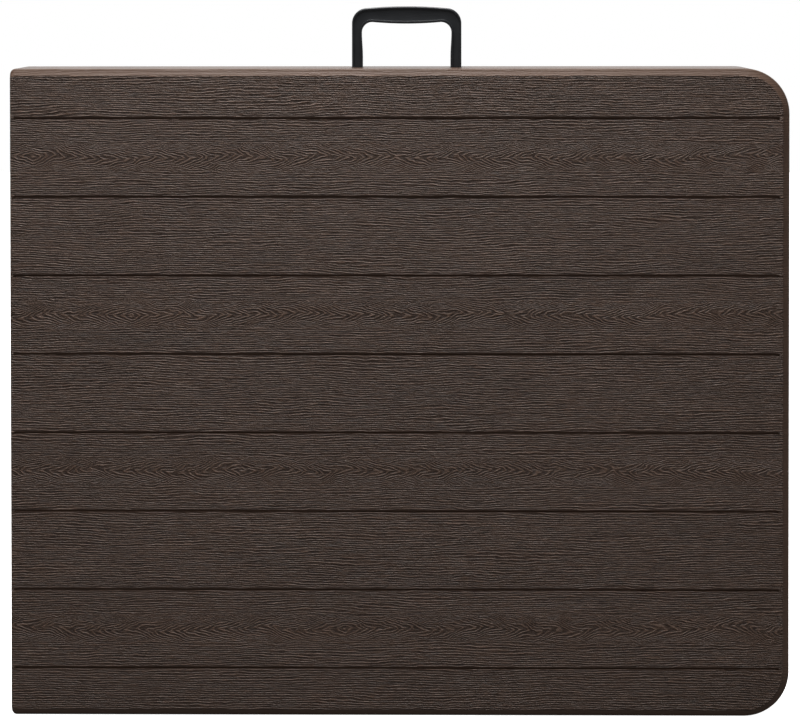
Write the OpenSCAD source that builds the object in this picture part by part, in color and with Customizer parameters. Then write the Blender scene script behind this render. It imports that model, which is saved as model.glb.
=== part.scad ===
// Fold-in-half plank-top table, closed and standing on one long edge.
// X runs from the centre hinge to the free end, Z across the table's width.
// The halves meet at y = 0: half A is in front (its top faces -Y), half B behind.
// The origin is at the bottom centre of the closed table.

/* [Tabletop] */
// Width of the table, the height of the closed table without its handle
table_w = 762; // [756:1:920]
// Length of one half, from the hinge to the free end
half_l = 915; // [880:1:1100]
// Thickness of one half at its rim
half_t = 45; // [43:0.5:60]
// Gap between the two halves' rims when closed
parting = 1; // [0.6:0.1:2]
// Gap from the hinge axis to each half's end
end_gap = 0.5; // [0.4:0.1:1]
// Thickness of the rim wall round the underside
rim_t = 14; // [12:0.5:20]
// Depth of the hollow underside below the rim
recess_d = 28; // [27.5:0.5:36]
// Radius of the outer corners at the free end
corner_r = 53; // [40:1:70]
// Radius of the corners at the hinge end
hinge_corner_r = 6; // [3:0.5:10]
// Width of the bevel round the top's edge
bevel_w = 9; // [5:0.5:12]
// Depth of that bevel
bevel_d = 5; // [3:0.5:7]
// Wall of the blow-moulded shell
shell_t = 2.6; // [2:0.1:3.2]

/* [Planks] */
// Number of grooves that mark the planks
groove_count = 8; // [4:1:12]
// Distance between two grooves
plank_w = 92.4; // [60:0.1:100]
// Width of a groove
groove_w = 2; // [1:0.1:4]
// Depth of a groove
groove_d = 1.4; // [0.5:0.1:2]

/* [Frame] */
// Width of a side rail's tube, across the table
rail_w = 16; // [12:0.5:22]
// Height of a side rail's tube
rail_h = 20; // [16:0.5:20]
// Wall of the rail tube
rail_wall = 1.2; // [0.8:0.1:2]
// Radius of the hinge eyes
eye_r = 6; // [5:0.5:8]
// Radius of the hinge rivets
hinge_rivet_r = 3; // [2:0.5:4]
// Thickness of a hinge plate
hinge_t = 3; // [2:0.5:5]

/* [Legs] */
// Height of the open table
table_h = 740; // [680:1:745]
// Outside diameter of a leg tube
leg_od = 22; // [18:0.5:22]
// Wall of a leg tube
leg_wall = 1.2; // [0.8:0.1:2]
// Depth of the leg pivots below the rims' plane
pivot_d = 14; // [13:0.5:15]
// From the free end to the first leg
lane_1 = 66; // [62:1:80]
// From the first leg to the second
lane_step = 42; // [40:1:60]
// Radius of a leg's pivot bolt
bolt_r = 4; // [3:0.25:5]
// Thickness of a folding bracket's cheek
cheek_t = 2; // [1.5:0.5:3]
// From a leg's pivot to its brace rivet
brace_at = 180; // [120:5:240]
// From a leg's pivot to its brace catch
catch_at = 350; // [250:5:420]
// Thickness of a hook brace
brace_t = 3; // [2:0.5:4]
// Width of a hook brace
brace_w = 12; // [10:0.5:12]

/* [Handle] */
// Outside width of the carry handle
handle_w = 130.5; // [110:0.5:150]
// Height of the handle above the edge
handle_h = 73; // [65:1:100]
// From the middle of the half to the handle's middle
handle_x = 8.5; // [0:0.5:40]
// Width of a handle leg
handle_leg_w = 13; // [10:0.1:16]
// Thickness of the handle
handle_t = 10; // [8:0.5:12]

/* [Latch] */
// Distance of the latch's pivot from the half's middle
latch_x = 253; // [150:1:350]
// Reach of the latch hook from its pivot to the stud
latch_reach = 40; // [36:1:44]
// Depth of the pocket that holds the latch
pocket_d = 6; // [5:0.5:8]

/* [Fits] */
// Radial clearance of a turning fit
turn_fit = 0.05; // [0.02:0.01:0.1]
// Clearance beside parts that slide past each other
slide_gap = 0.3; // [0.2:0.05:0.6]

/* [Hidden] */
$fn = 48;
over = 1;

// Places along X
x_free = (half_l + end_gap + eye_r) / 2;
x_end = x_free - half_l;
x_axis = x_end - end_gap;
x_mid = x_free - half_l / 2;
rail_x0 = x_axis + rim_t + 3;
rail_x1 = x_free - lane_1 - lane_step - 27;

// Places along Y, for half A
y_rim = -parting / 2;
y_top = y_rim - half_t;
y_floor = y_rim - recess_d;
y_rail = y_floor + rail_h;

// Planks, the skin's sealed space, and the dimples that tie its two walls together
groove_start = 4;
shell_inset = 8;
cavity_y0 = y_top + shell_t + groove_d;
cavity_y1 = y_floor - shell_t;
dimple_pitch = 90;
dimple_edge = 66;
dimple_r = 11;
dimple_tip_r = 6;
dimple_d = 9;
pillar_wall = 2.2;
boss_wall = 3;

// Legs, in their own frame: X across the lane, Y out of the recess, Z along the folded leg
leg_r = leg_od / 2;
leg_floor = y_floor + pivot_d;
z_pivot = rim_t + leg_r + 4;
leg_reach = table_h + y_top + pivot_d;
head_w = leg_od - 1;
head_spigot = 36;
foot_r = leg_r + 1.2;
foot_l = 32;
foot_web = 2;
cheek_x = leg_r + slide_gap;
cheek_r = 9.5;
bracket_l = 42;
flange_w = 6;
bolt_head_r = 7;
bolt_head_t = 3;
cradle_at = 610;
cradle_l = 14;
cradle_base = 3;

// Hook braces: the rivet sits off the leg's centre line, towards the rims' plane
brace_off = 6;
catch_drop = 6;
brace_dx = leg_r + 3.7 + slide_gap;
brace_mid = brace_dx + brace_t / 2;
brace_grip = 7;
brace_len = norm([catch_at + brace_off, brace_at + catch_drop]);
brace_tilt = atan2(brace_at + catch_drop, catch_at + brace_off);
slot_out = brace_at * cos(brace_tilt) - brace_off * sin(brace_tilt);
slot_up = brace_at * sin(brace_tilt) + brace_off * cos(brace_tilt) + brace_len * brace_tilt / 90;
slot_angle = atan2(slot_up, slot_out);
hook_lip = 3;
brace_rivet_r = 3;
catch_pin_r = 2.5;
catch_slot_r = catch_pin_r + 0.5;
catch_l = 40;
catch_slot_l = 9.5;
ear_t = 1.6;

// Hinge layers above a rail: plate A, then plate B on its pad
layer_gap = 0.2;
rail_z0 = rim_t + 0.5;
hinge_z0 = rail_z0 + rail_w;
hinge_b_z = hinge_z0 + hinge_t + layer_gap;
hinge_top = hinge_b_z + hinge_t;
rivet_head_r = 5;
rivet_head_t = 2.5;
hinge_x0 = 17;
hinge_x1 = 70;
hinge_y0 = 10;
hinge_y1 = 24;
plug_lip = 3;
plug_l = 14;

// Handle
handle_cx = x_mid + handle_x;
handle_leg_x = (handle_w - handle_leg_w) / 2;
handle_top = table_w + handle_h;
grip_t = 20;
handle_outer_r = 18;
handle_inner_r = 12;
guide_gap = 0.5;
guide_wall = 2.2;
guide_h = 12;
guide_z1 = table_w - rim_t - 3;
stop_h = 8;
stop_w = 5;
handle_z0 = guide_z1 - guide_h - slide_gap - stop_h;

// Latch
latch_px = x_mid - latch_x;
latch_t = 2.5;
latch_z = pocket_d - 1 - latch_t;
latch_w = 16;
stud_r = 2.5;
stud_head_r = 4.5;

// Screws
screw_r = 2;
screw_hole_r = 2.1;
screw_bite = 7;
screw_head_r = 4;
screw_head_t = 2;
small_head_r = 2.9;
small_head_t = 1.6;
rail_screw_x = [rail_x0 + 90, x_mid - 120, x_mid + 120, rail_x1 - 30];
bracket_screw_s = [9, 33];
bracket_screw_dx = cheek_x + cheek_t + flange_w / 2;
catch_screw_s = 14;
cradle_screw_dx = leg_r + 7;

// Middle of leg lane n along X
function lane_x(n) = x_free - lane_1 - n * lane_step;

// Height of a place s along leg n, which folds up from the lower edge or down from the upper one
function leg_z(n, s) = n == 0 ? z_pivot + s : table_w - z_pivot - s;

// Screw holes in the moulding, as [x, z]
function rail_spots() = [
    for (x = rail_screw_x) for (z = [rail_z0 + rail_w / 2, table_w - rail_z0 - rail_w / 2]) [x, z]
];
function bracket_spots() = [
    for (n = [0, 1]) for (side = [-1, 1]) for (s = bracket_screw_s)
    [lane_x(n) + side * bracket_screw_dx, leg_z(n, s)]
];
function catch_spots() = [
    for (n = [0, 1]) for (side = [-1, 1])
    [lane_x(n) - brace_mid, leg_z(n, catch_at + side * catch_screw_s)]
];
function cradle_spots() = [
    for (n = [0, 1]) for (side = [-1, 1])
    [lane_x(n) + side * cradle_screw_dx, leg_z(n, cradle_at)]
];
function all_screws() = concat(rail_spots(), bracket_spots(), catch_spots(), cradle_spots());

// Middles of the dimples, as [x, z], and the distance from one to the nearest screw
function dimple_spots() = [
    for (i = [0 : floor((half_l - 1.6 * dimple_edge) / dimple_pitch)])
    for (j = [0 : groove_count - 2])
    [x_end + dimple_edge + i * dimple_pitch, table_w / 2 + (j - (groove_count - 2) / 2) * plank_w]
];
function spot_gap(p, spots) = min([for (q = spots) norm(p - q)]);

// ---- helpers ----

// A rectangle with its own radius at each end, as exact arcs
module half_outline(inset) {
    x0 = x_end + inset;
    x1 = x_free - inset;
    z0 = inset;
    z1 = table_w - inset;
    ra = max(hinge_corner_r - inset, 0.5);
    rb = max(corner_r - inset, 1);
    polygon([
        [x0 + ra, z0], [x1 - rb, z0], [x1, z0 + rb], [x1, z1 - rb],
        [x1 - rb, z1], [x0 + ra, z1], [x0, z1 - ra], [x0, z0 + ra]
    ]);
    for (z = [z0 + ra, z1 - ra])
        translate([x0 + ra, z]) circle(r = ra);
    for (z = [z0 + rb, z1 - rb])
        translate([x1 - rb, z]) circle(r = rb);
}

// That outline as a slab from y0 up to y1
module half_slab(inset, y0, y1) {
    translate([0, y1, 0])
        rotate([90, 0, 0])
            linear_extrude(height = y1 - y0)
                half_outline(inset);
}

// A cylinder along Y from y0 to y1
module rod_y(r, y0, y1, r2 = undef) {
    translate([0, y0, 0])
        rotate([-90, 0, 0])
            cylinder(h = y1 - y0, r1 = r, r2 = is_undef(r2) ? r : r2);
}

// A cylinder along X, centred
module rod_x(r, length) {
    rotate([0, 90, 0])
        cylinder(h = length, r = r, center = true);
}

// A block given by its two corners
module block(a, b) {
    translate(a) cube(b - a);
}

module mirror_z() {
    translate([0, 0, table_w]) mirror([0, 0, 1]) children();
}

module both_z() {
    children();
    mirror_z() children();
}

module half_b() {
    mirror([0, 1, 0]) children();
}

// Places a leg's own frame: X across its lane, Y out of the recess, Z along the folded leg
module at_lower_leg() {
    translate([lane_x(0), -pivot_d, z_pivot]) children();
}

module at_upper_leg() {
    mirror_z() translate([lane_x(1), -pivot_d, z_pivot]) children();
}

module both_legs() {
    at_lower_leg() children();
    at_upper_leg() children();
}

// ---- tabletop ----

// Wedge that bevels the top's edge: X points out of the edge, and it runs along Z
module bevel_wedge(length) {
    linear_extrude(height = length, center = true)
        polygon([
            [over, y_top - over],
            [-bevel_w * (1 + over / bevel_d), y_top - over],
            [over, y_top + bevel_d * (1 + over / bevel_w)]
        ]);
}

// The wedge at the given angle round the lower corner: 0 is the free end, 90 the long edge
module turned_wedge(angle, length) {
    translate([x_free - corner_r, 0, corner_r])
        rotate([0, angle, 0])
            translate([corner_r, 0, 0])
                bevel_wedge(length);
}

module bevel_cut() {
    turned_wedge(0, 2 * table_w);
    both_z() turned_wedge(90, 2 * half_l);
    both_z()
        for (angle = [22.5, 45, 67.5])
            turned_wedge(angle, corner_r);
}

module plank_grooves() {
    for (i = [0 : groove_count - 1]) {
        z = table_w / 2 + (i - (groove_count - 1) / 2) * plank_w;
        block([x_end + groove_start, y_top - over, z - groove_w / 2],
              [x_free - rim_t, y_top + groove_d, z + groove_w / 2]);
    }
}

module at_dimples() {
    for (p = dimple_spots())
        if (spot_gap(p, all_screws()) > dimple_r + 2 * screw_r + 3)
            translate([p[0], 0, p[1]]) children();
}

module at_spots(spots) {
    for (p = spots)
        translate([p[0], 0, p[1]]) children();
}

// The sealed space in the blow-moulded skin, less the dimples and bosses that cross it
module shell_space() {
    difference() {
        half_slab(shell_inset, cavity_y0, cavity_y1);
        at_dimples()
            rod_y(dimple_tip_r + pillar_wall, cavity_y0 - over, cavity_y1 + over, dimple_r + pillar_wall);
        at_spots(all_screws())
            rod_y(screw_r + boss_wall, cavity_y0 - over, cavity_y1 + over);
    }
}

// Cuts in the hinge-end rim that let the hinge plates reach the axis
module hinge_slots() {
    both_z()
        block([x_end - over, y_floor + over, hinge_z0 - rivet_head_t - over],
              [x_end + rim_t + over, y_rim + over, hinge_top + layer_gap + rivet_head_t + 2]);
}

// Shallow cuts where the handle's legs pass between the two rims
module handle_slots() {
    for (s = [-1, 1])
        translate([handle_cx + s * handle_leg_x, 0, 0])
            block([-handle_leg_w / 2 - 1, -handle_t / 2 - guide_gap, table_w - rim_t - over],
                  [handle_leg_w / 2 + 1, over, table_w + over]);
}

module latch_pocket() {
    block([latch_px - latch_w / 2 - 4, -latch_reach / 2 - latch_w / 2 - 4, -over],
          [latch_px + latch_reach + latch_w / 2 + 4, over, pocket_d]);
}

module tabletop() {
    difference() {
        half_slab(0, y_top, y_rim);
        half_slab(rim_t, y_floor, y_rim + over);
        shell_space();
        bevel_cut();
        plank_grooves();
        at_dimples() rod_y(dimple_tip_r, y_floor - dimple_d, y_floor + 0.01, dimple_r);
        at_spots(all_screws()) rod_y(screw_r, y_floor - screw_bite, y_floor + over);
        hinge_slots();
        handle_slots();
        latch_pocket();
    }
}

// ---- frame ----

module side_rail() {
    difference() {
        block([rail_x0, y_floor, rail_z0], [rail_x1, y_rail, rail_z0 + rail_w]);
        block([rail_x0 - over, y_floor + rail_wall, rail_z0 + rail_wall],
              [rail_x1 + over, y_rail - rail_wall, rail_z0 + rail_w - rail_wall]);
        for (x = rail_screw_x)
            translate([x, 0, rail_z0 + rail_w / 2])
                rod_y(screw_hole_r, y_floor - over, y_rail + over);
    }
}

module rail_plug() {
    inset = rail_wall + 0.1;
    block([rail_x1, y_floor + 0.2, rail_z0], [rail_x1 + plug_lip, y_rail, rail_z0 + rail_w]);
    block([rail_x1 - plug_l, y_floor + inset, rail_z0 + inset],
          [rail_x1 + 0.01, y_rail - inset, rail_z0 + rail_w - inset]);
}

// A screw through the rail into the moulding
module rail_screw() {
    rod_y(screw_r, y_floor - screw_bite, y_rail + 0.01);
    rod_y(screw_head_r, y_rail, y_rail + screw_head_t, screw_head_r - 1);
}

// A short screw that holds a plate of the given thickness on the recess floor
module floor_screw(plate) {
    rod_y(screw_r, y_floor - screw_bite, y_floor + plate + 0.01);
    rod_y(small_head_r, y_floor + plate, y_floor + plate + small_head_t, small_head_r - 0.8);
}

module frame_screws() {
    at_spots(rail_spots()) rail_screw();
    at_spots(bracket_spots()) floor_screw(cheek_t);
    at_spots(catch_spots()) floor_screw(cheek_t);
    at_spots(cradle_spots()) floor_screw(cradle_base);
}

// Outline of a hinge plate from its eye to the rail, with the axis at 0, 0
module hinge_shape() {
    difference() {
        union() {
            circle(r = eye_r);
            polygon([
                [0, -eye_r], [hinge_x0, -hinge_y1], [hinge_x1, -hinge_y1],
                [hinge_x1, -hinge_y0], [hinge_x0 + 6, -hinge_y0],
                [eye_r * 0.77, eye_r * 0.64]
            ]);
        }
        circle(r = hinge_rivet_r + turn_fit);
    }
}

module hinge_plate(z) {
    translate([x_axis, 0, z])
        linear_extrude(height = hinge_t)
            hinge_shape();
}

// Packing piece that brings plate B to its own layer above the rail
module hinge_pad() {
    block([x_axis + hinge_x0, -hinge_y1, hinge_z0], [x_axis + hinge_x1, -hinge_y0, hinge_b_z + 0.01]);
}

module hinge_rivet() {
    top = hinge_top + layer_gap;
    translate([x_axis, 0, hinge_z0 - rivet_head_t])
        cylinder(r = rivet_head_r, h = rivet_head_t);
    translate([x_axis, 0, hinge_z0 - 0.01])
        cylinder(r = hinge_rivet_r, h = top - hinge_z0 + 0.02);
    translate([x_axis, 0, top])
        cylinder(r = rivet_head_r, h = rivet_head_t);
}

// ---- leg hardware on a half, in a leg's own frame ----

module bracket_cheek() {
    difference() {
        union() {
            rod_x(cheek_r, cheek_t);
            block([-cheek_t / 2, leg_floor, -cheek_r], [cheek_t / 2, 0, cheek_r]);
            block([-cheek_t / 2, leg_floor, -cheek_r], [cheek_t / 2, leg_floor + 7, bracket_l]);
        }
        rod_x(bolt_r, 3 * cheek_t);
    }
}

module leg_bracket() {
    reach = cheek_x + cheek_t;
    for (s = [-1, 1])
        translate([s * (cheek_x + cheek_t / 2), 0, 0]) bracket_cheek();
    block([-reach, leg_floor, bracket_l - 26], [reach, leg_floor + cheek_t, bracket_l]);
    difference() {
        for (s = [0, 1])
            mirror([s, 0, 0])
                block([cheek_x, leg_floor, 2], [reach + flange_w, leg_floor + cheek_t, bracket_l]);
        for (s = [-1, 1])
            for (z = bracket_screw_s)
                translate([s * bracket_screw_dx, 0, z])
                    rod_y(screw_hole_r, leg_floor - over, leg_floor + 2 * cheek_t);
    }
}

module pivot_bolt() {
    reach = cheek_x + cheek_t;
    rod_x(bolt_r, 2 * reach);
    for (s = [0, 1])
        mirror([s, 0, 0])
            translate([reach, 0, 0])
                rotate([0, 90, 0])
                    cylinder(h = bolt_head_t, r1 = bolt_head_r, r2 = bolt_head_r - 1.5);
}

// Two ears with a cross pin that the hook brace drops over
module brace_catch() {
    gap = brace_t / 2 + slide_gap;
    base = gap + ear_t + 0.6;
    ear_top = -catch_drop + catch_pin_r + 1;
    translate([-brace_mid, 0, catch_at]) {
        difference() {
            block([-base, leg_floor, -catch_l / 2], [base, leg_floor + cheek_t, catch_l / 2]);
            for (s = [-1, 1])
                translate([0, 0, s * catch_screw_s])
                    rod_y(screw_hole_r, leg_floor - over, leg_floor + 2 * cheek_t);
            block([-gap, leg_floor - over, -catch_slot_l], [gap, leg_floor + 2 * cheek_t, catch_slot_l]);
        }
        for (s = [-1, 1])
            translate([s * (gap + ear_t / 2), 0, 0])
                block([-ear_t / 2, leg_floor, -7], [ear_t / 2, ear_top, 7]);
        translate([0, -catch_drop, 0])
            rod_x(catch_pin_r, 2 * gap + ear_t);
    }
}

// Open saddle that the folded leg lies in
module leg_cradle() {
    wide = leg_r + 11;
    translate([0, 0, cradle_at])
        difference() {
            union() {
                block([-leg_r - 3, leg_floor, -cradle_l / 2], [leg_r + 3, -1, cradle_l / 2]);
                block([-wide, leg_floor, -cradle_l / 2], [wide, leg_floor + cradle_base, cradle_l / 2]);
            }
            cylinder(r = leg_r + slide_gap, h = 2 * cradle_l, center = true);
            for (s = [-1, 1])
                translate([s * cradle_screw_dx, 0, 0])
                    rod_y(screw_hole_r, leg_floor - over, leg_floor + 2 * cradle_base);
        }
}

// ---- a leg, in its own frame ----

module leg_tube() {
    lug_far = brace_dx - slide_gap;
    start = leg_r + 0.2;
    difference() {
        union() {
            translate([0, 0, start]) cylinder(r = leg_r, h = leg_reach - foot_web - start);
            block([-lug_far, brace_off - 7, brace_at - 11], [-leg_r / 2, brace_off + 5, brace_at + 11]);
        }
        translate([0, 0, start - over]) cylinder(r = leg_r - leg_wall, h = leg_reach);
        translate([-lug_far, brace_off, brace_at]) rod_x(brace_rivet_r, 2 * brace_grip);
    }
}

module leg_head() {
    difference() {
        union() {
            rod_x(leg_r, head_w);
            cylinder(r = leg_r - leg_wall - 0.1, h = head_spigot);
        }
        rod_x(bolt_r + turn_fit, 2 * leg_od);
    }
}

module foot_cap() {
    difference() {
        translate([0, 0, leg_reach - foot_l]) cylinder(r = foot_r, h = foot_l);
        translate([0, 0, leg_reach - foot_l - over]) cylinder(r = leg_r, h = foot_l - foot_web + over);
    }
}

module brace_rivet() {
    far = brace_dx + brace_t + slide_gap;
    translate([-far, brace_off, brace_at]) {
        rotate([0, 90, 0]) cylinder(r = brace_rivet_r, h = far - brace_dx + slide_gap + brace_grip);
        rotate([0, -90, 0]) cylinder(r1 = 5, r2 = 4, h = 2);
    }
}

// A flat bar from its rivet to a slanted slot that drops over the catch pin
module hook_brace() {
    half_w = brace_w / 2;
    translate([-brace_dx - brace_t, brace_off, brace_at])
        rotate([90, 0, 90])
            linear_extrude(height = brace_t)
                mirror([1, -1, 0])
                    difference() {
                        union() {
                            circle(r = half_w);
                            translate([0, -half_w]) square([brace_len + hook_lip, brace_w]);
                            translate([brace_len + hook_lip, 0]) circle(r = half_w);
                        }
                        circle(r = brace_rivet_r + turn_fit);
                        translate([brace_len, 0]) circle(r = catch_slot_r);
                        translate([brace_len, 0])
                            rotate(slot_angle + 180)
                                translate([0, -catch_slot_r]) square([2 * brace_w, 2 * catch_slot_r]);
                    }
}

// ---- handle and latch ----

// The handle's U outline with its stops, upright, with its middle at x = 0
module handle_outline() {
    outer = handle_w / 2;
    inner = outer - handle_leg_w;
    z_leg = handle_z0 + stop_h;
    z_corner = handle_top - handle_outer_r;
    z_under = handle_top - grip_t;
    z_bend = z_under - handle_inner_r;
    difference() {
        union() {
            translate([-outer - stop_w, handle_z0]) square([handle_w + 2 * stop_w, stop_h]);
            translate([-outer, handle_z0]) square([handle_w, z_corner - handle_z0]);
            translate([-outer + handle_outer_r, z_corner - over])
                square([handle_w - 2 * handle_outer_r, handle_outer_r + over]);
            for (s = [-1, 1])
                translate([s * (outer - handle_outer_r), z_corner]) circle(r = handle_outer_r);
        }
        translate([-inner + stop_w, handle_z0 - over]) square([2 * (inner - stop_w), stop_h + 2 * over]);
        translate([-inner, z_leg]) square([2 * inner, z_bend - z_leg]);
        translate([-inner + handle_inner_r, z_leg]) square([2 * (inner - handle_inner_r), z_under - z_leg]);
        for (s = [-1, 1])
            translate([s * (inner - handle_inner_r), z_bend]) circle(r = handle_inner_r);
    }
}

// Loop on rail A that one handle leg slides through
module handle_guide() {
    half_w = handle_leg_w / 2 + guide_gap;
    half_d = handle_t / 2 + guide_gap;
    difference() {
        block([-half_w - guide_wall, y_rail, guide_z1 - guide_h],
              [half_w + guide_wall, half_d + 2, guide_z1]);
        block([-half_w, -half_d, guide_z1 - guide_h - over], [half_w, half_d, guide_z1 + over]);
    }
}

// A headed post that hangs from the roof of the latch pocket, at the given Y
module latch_post(y) {
    shoulder = latch_z + latch_t + slide_gap;
    tip = latch_z - slide_gap;
    translate([latch_px, y, 0]) {
        translate([0, 0, tip - 0.01]) cylinder(r = stud_r, h = pocket_d - tip + 0.01);
        translate([0, 0, shoulder]) cylinder(r = stud_head_r, h = pocket_d - shoulder);
        translate([0, 0, tip - 1.1]) cylinder(r1 = stud_head_r - 0.6, r2 = stud_head_r, h = 1.1);
    }
}

module latch_plate() {
    difference() {
        union() {
            circle(r = latch_w / 2);
            translate([0, -latch_w / 2]) square([latch_reach, latch_w]);
            translate([latch_reach, 0]) circle(r = latch_w / 2);
        }
        circle(r = stud_r + turn_fit);
        translate([latch_reach, 0]) circle(r = stud_r + 0.5);
        intersection() {
            difference() {
                circle(r = latch_reach + stud_r + 0.5);
                circle(r = latch_reach - stud_r - 0.5);
            }
            square([2 * latch_reach, latch_reach]);
        }
    }
}

// ---- sub-parts ----

module tabletop_a() { color([0.27, 0.22, 0.20]) tabletop(); }
module rail_lower_a() { color("dimgray") side_rail(); }
module rail_upper_a() { color("dimgray") mirror_z() side_rail(); }
module rail_plugs_a() { color("black") both_z() rail_plug(); }
module hinge_plate_lower_a() { color("silver") hinge_plate(hinge_z0); }
module hinge_plate_upper_a() { color("silver") mirror_z() hinge_plate(hinge_z0); }
module hinge_rivets() { color("gainsboro") both_z() hinge_rivet(); }
module frame_screws_a() { color("gainsboro") frame_screws(); }
module leg_brackets_a() { color("silver") both_legs() leg_bracket(); }
module leg_pivot_bolts_a() { color("gainsboro") both_legs() pivot_bolt(); }
module brace_catches_a() { color("silver") both_legs() brace_catch(); }
module leg_cradles_a() { color("black") both_legs() leg_cradle(); }
module handle_guides() {
    color("black")
        for (s = [-1, 1])
            translate([handle_cx + s * handle_leg_x, 0, 0]) handle_guide();
}
module latch_screw() { color("gainsboro") latch_post(-latch_reach / 2); }
module tabletop_b() { color([0.27, 0.22, 0.20]) half_b() tabletop(); }
module rail_lower_b() { color("dimgray") half_b() side_rail(); }
module rail_upper_b() { color("dimgray") half_b() mirror_z() side_rail(); }
module rail_plugs_b() { color("black") half_b() both_z() rail_plug(); }
module hinge_plate_lower_b() {
    color("silver")
        half_b() {
            hinge_plate(hinge_b_z);
            hinge_pad();
        }
}
module hinge_plate_upper_b() {
    color("silver")
        half_b() mirror_z() {
            hinge_plate(hinge_b_z);
            hinge_pad();
        }
}
module frame_screws_b() { color("gainsboro") half_b() frame_screws(); }
module leg_brackets_b() { color("silver") half_b() both_legs() leg_bracket(); }
module leg_pivot_bolts_b() { color("gainsboro") half_b() both_legs() pivot_bolt(); }
module brace_catches_b() { color("silver") half_b() both_legs() brace_catch(); }
module leg_cradles_b() { color("black") half_b() both_legs() leg_cradle(); }
module latch_stud() { color("gainsboro") latch_post(latch_reach / 2); }
module carry_handle() {
    color([0.13, 0.14, 0.16])
        translate([handle_cx, handle_t / 2, 0]) rotate([90, 0, 0])
            linear_extrude(height = handle_t) handle_outline();
}
module latch_hook() {
    color("silver")
        translate([latch_px, -latch_reach / 2, latch_z])
            linear_extrude(height = latch_t) latch_plate();
}
module leg_tube_lower_a() { color("dimgray") at_lower_leg() leg_tube(); }
module leg_head_lower_a() { color("silver") at_lower_leg() leg_head(); }
module foot_cap_lower_a() { color("black") at_lower_leg() foot_cap(); }
module brace_rivet_lower_a() { color("gainsboro") at_lower_leg() brace_rivet(); }
module hook_brace_lower_a() { color("darkgray") at_lower_leg() hook_brace(); }
module leg_tube_upper_a() { color("dimgray") at_upper_leg() leg_tube(); }
module leg_head_upper_a() { color("silver") at_upper_leg() leg_head(); }
module foot_cap_upper_a() { color("black") at_upper_leg() foot_cap(); }
module brace_rivet_upper_a() { color("gainsboro") at_upper_leg() brace_rivet(); }
module hook_brace_upper_a() { color("darkgray") at_upper_leg() hook_brace(); }
module leg_tube_lower_b() { color("dimgray") half_b() at_lower_leg() leg_tube(); }
module leg_head_lower_b() { color("silver") half_b() at_lower_leg() leg_head(); }
module foot_cap_lower_b() { color("black") half_b() at_lower_leg() foot_cap(); }
module brace_rivet_lower_b() { color("gainsboro") half_b() at_lower_leg() brace_rivet(); }
module hook_brace_lower_b() { color("darkgray") half_b() at_lower_leg() hook_brace(); }
module leg_tube_upper_b() { color("dimgray") half_b() at_upper_leg() leg_tube(); }
module leg_head_upper_b() { color("silver") half_b() at_upper_leg() leg_head(); }
module foot_cap_upper_b() { color("black") half_b() at_upper_leg() foot_cap(); }
module brace_rivet_upper_b() { color("gainsboro") half_b() at_upper_leg() brace_rivet(); }
module hook_brace_upper_b() { color("darkgray") half_b() at_upper_leg() hook_brace(); }

tabletop_a();
rail_lower_a();
rail_upper_a();
rail_plugs_a();
hinge_plate_lower_a();
hinge_plate_upper_a();
hinge_rivets();
frame_screws_a();
leg_brackets_a();
leg_pivot_bolts_a();
brace_catches_a();
leg_cradles_a();
handle_guides();
latch_screw();
tabletop_b();
rail_lower_b();
rail_upper_b();
rail_plugs_b();
hinge_plate_lower_b();
hinge_plate_upper_b();
frame_screws_b();
leg_brackets_b();
leg_pivot_bolts_b();
brace_catches_b();
leg_cradles_b();
latch_stud();
carry_handle();
latch_hook();
leg_tube_lower_a();
leg_head_lower_a();
foot_cap_lower_a();
brace_rivet_lower_a();
hook_brace_lower_a();
leg_tube_upper_a();
leg_head_upper_a();
foot_cap_upper_a();
brace_rivet_upper_a();
hook_brace_upper_a();
leg_tube_lower_b();
leg_head_lower_b();
foot_cap_lower_b();
brace_rivet_lower_b();
hook_brace_lower_b();
leg_tube_upper_b();
leg_head_upper_b();
foot_cap_upper_b();
brace_rivet_upper_b();
hook_brace_upper_b();
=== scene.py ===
"""Finished look of a fold-in-half table with a moulded plank top, standing closed on one long edge.

Metres, +Z up. X runs from the centre hinge to the free end, Z across the table's width, and the two
halves meet at y = 0, half A in front of half B.
"""

import math

import bmesh
import bpy
from bpy.props import FloatProperty, FloatVectorProperty, IntProperty, PointerProperty
from mathutils import Matrix, Vector


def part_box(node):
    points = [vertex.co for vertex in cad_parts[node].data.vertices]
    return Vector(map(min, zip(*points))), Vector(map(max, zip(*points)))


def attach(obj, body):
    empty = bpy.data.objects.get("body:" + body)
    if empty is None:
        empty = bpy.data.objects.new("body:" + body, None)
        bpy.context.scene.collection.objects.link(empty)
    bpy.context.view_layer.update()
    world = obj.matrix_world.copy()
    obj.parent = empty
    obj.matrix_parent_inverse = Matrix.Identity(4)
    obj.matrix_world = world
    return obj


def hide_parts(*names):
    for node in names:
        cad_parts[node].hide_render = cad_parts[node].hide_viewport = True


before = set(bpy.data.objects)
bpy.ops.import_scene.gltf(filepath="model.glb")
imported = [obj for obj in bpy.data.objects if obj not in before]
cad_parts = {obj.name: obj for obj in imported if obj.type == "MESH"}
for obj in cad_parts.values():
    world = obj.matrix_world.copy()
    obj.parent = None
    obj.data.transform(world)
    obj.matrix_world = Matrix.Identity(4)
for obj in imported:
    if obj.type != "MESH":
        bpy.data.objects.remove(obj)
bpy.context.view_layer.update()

bl_info = {
    "name": "Folding Plank Table",
    "version": (1, 0, 0),
    "blender": (4, 5, 0),
    "location": "3D View > Sidebar > Folding Table",
    "description": "Builds the finished pieces, materials and studio of a folding table round its frame",
    "category": "Object",
}

MM = 0.001
HALVES = ("a", "b")
EDGES = ("lower", "upper")
PANEL_LOW, PANEL_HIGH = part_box("tabletop_a")
RIM_GAP = -PANEL_HIGH.y
HANDLE_LOW, HANDLE_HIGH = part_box("carry_handle")


def side(half):
    """-1 for half A, whose top faces -Y, and 1 for half B."""
    return -1 if half == "a" else 1


# ---- sizes and colours that a user would change ----

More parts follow.
